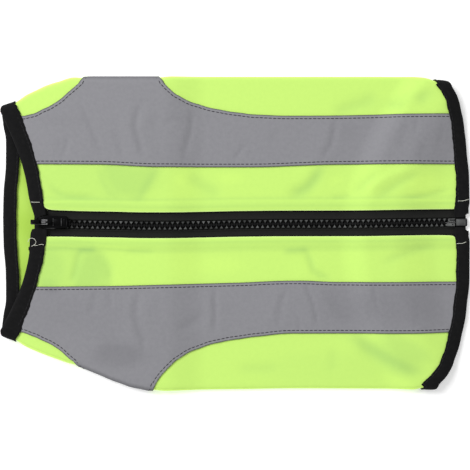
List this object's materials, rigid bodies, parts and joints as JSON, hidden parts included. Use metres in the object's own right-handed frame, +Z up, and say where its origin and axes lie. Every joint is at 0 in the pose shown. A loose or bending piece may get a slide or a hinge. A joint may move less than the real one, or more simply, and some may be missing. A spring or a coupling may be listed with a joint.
{
  "type": "reflective dog jacket",
  "caption": "Sleeveless neon yellow dog jacket with grey reflective panels and a black back zip, zipped up and laid flat.",
  "frame": {"origin": "middle of the laid jacket's outline, on the surface that it lies on", "axes": "+X from the neck to the hem along the zip, +Y to the wearer's right, +Z up out of the back"},
  "size_m": [0.2859, 0.1917, 0.0106],
  "materials": {
    "neon_cloth": "matt neon yellow-green polyester knit",
    "reflective_cloth": "satin grey retroreflective cloth",
    "black_binding": "matt black binding tape",
    "zip_tape": "matt black woven zip tape",
    "zip_plastic": "semi-gloss black moulded plastic"
  },
  "bodies": {
    "jacket": {"back_right_panel": "neon_cloth", "back_left_panel": "neon_cloth", "belly_panel": "neon_cloth", "reflective_right": "reflective_cloth", "reflective_left": "reflective_cloth", "neck_binding": "black_binding", "hem_binding": "black_binding", "leg_binding_right": "black_binding", "leg_binding_left": "black_binding", "zip_tape_right": "zip_tape", "zip_tape_left": "zip_tape", "zip_teeth": "zip_plastic", "zip_slider": "zip_plastic", "zip_box": "zip_plastic", "zip_stop_right": "zip_plastic", "zip_stop_left": "zip_plastic"},
    "pull_tab": {"zip_pull": "zip_plastic"}
  },
  "joints": [
    {"name": "pull_hinge", "type": "hinge", "parent": "jacket", "child": "pull_tab", "pos_m": [-0.1141, 0.0065, 0.00895], "axis": [0, 1, 0], "range_deg": [0, 170]}
  ]
}
